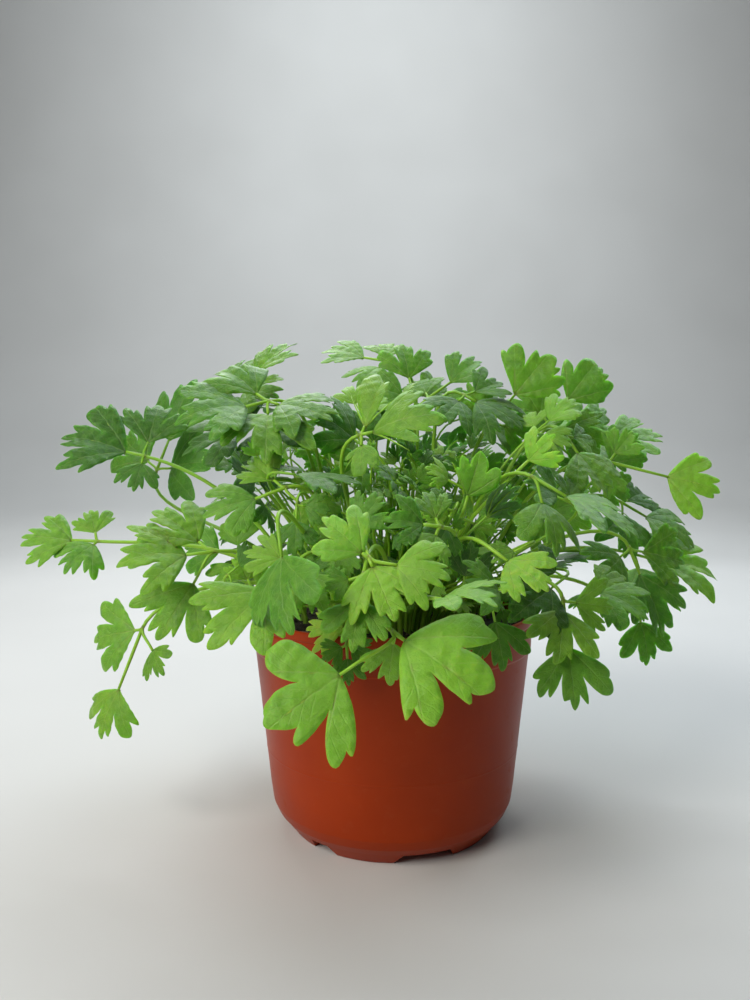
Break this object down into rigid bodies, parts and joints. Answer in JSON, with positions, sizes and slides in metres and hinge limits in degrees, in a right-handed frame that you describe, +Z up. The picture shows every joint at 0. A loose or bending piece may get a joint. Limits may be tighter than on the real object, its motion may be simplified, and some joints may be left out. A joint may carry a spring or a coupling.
{
  "type": "potted parsley",
  "caption": "Flat-leaf parsley growing in a round plastic nursery pot: a wide bush of long stems with lobed leaflets.",
  "frame": {"origin": "on the surface the pot stands on, on the pot's axis, which is also the middle of the plant's spread", "axes": "+Z up along the pot's axis; -Y is the side that the picture shows; +X is to the right in it"},
  "size_m": [0.3176, 0.2374, 0.2199],
  "materials": {
    "pot_plastic": "satin",
    "soil": "matte",
    "leaf_fresh": "satin",
    "leaf_green": "satin",
    "leaf_deep": "satin"
  },
  "bodies": {
    "root": {"pot": "pot_plastic", "soil": "soil", "leafy_stem_01": "leaf_fresh", "leafy_stem_02": "leaf_green", "leafy_stem_03": "leaf_deep", "leafy_stem_04": "leaf_fresh", "leafy_stem_05": "leaf_green", "leafy_stem_06": "leaf_deep", "leafy_stem_07": "leaf_fresh", "leafy_stem_08": "leaf_green", "leafy_stem_09": "leaf_deep", "leafy_stem_10": "leaf_fresh", "leafy_stem_11": "leaf_green", "leafy_stem_12": "leaf_deep", "leafy_stem_13": "leaf_fresh", "leafy_stem_14": "leaf_green", "leafy_stem_15": "leaf_deep", "leafy_stem_16": "leaf_fresh", "leafy_stem_17": "leaf_green", "leafy_stem_18": "leaf_deep", "leafy_stem_19": "leaf_fresh", "leafy_stem_20": "leaf_green", "leafy_stem_21": "leaf_deep", "leafy_stem_22": "leaf_fresh", "leafy_stem_23": "leaf_green", "leafy_stem_24": "leaf_deep", "leafy_stem_25": "leaf_fresh", "leafy_stem_26": "leaf_green", "leafy_stem_27": "leaf_deep", "leafy_stem_28": "leaf_fresh", "leafy_stem_29": "leaf_green", "leafy_stem_30": "leaf_deep", "leafy_stem_31": "leaf_fresh", "leafy_stem_32": "leaf_green", "leafy_stem_33": "leaf_deep", "leafy_stem_34": "leaf_fresh", "leafy_stem_35": "leaf_green", "leafy_stem_36": "leaf_deep", "leafy_stem_37": "leaf_fresh", "leafy_stem_38": "leaf_green", "leafy_stem_39": "leaf_deep", "leafy_stem_40": "leaf_fresh", "leafy_stem_41": "leaf_green", "leafy_stem_42": "leaf_deep", "leafy_stem_43": "leaf_fresh", "leafy_stem_44": "leaf_green", "leafy_stem_45": "leaf_deep", "leafy_stem_46": "leaf_fresh", "leafy_stem_47": "leaf_green", "leafy_stem_48": "leaf_deep"}
  },
  "joints": []
}
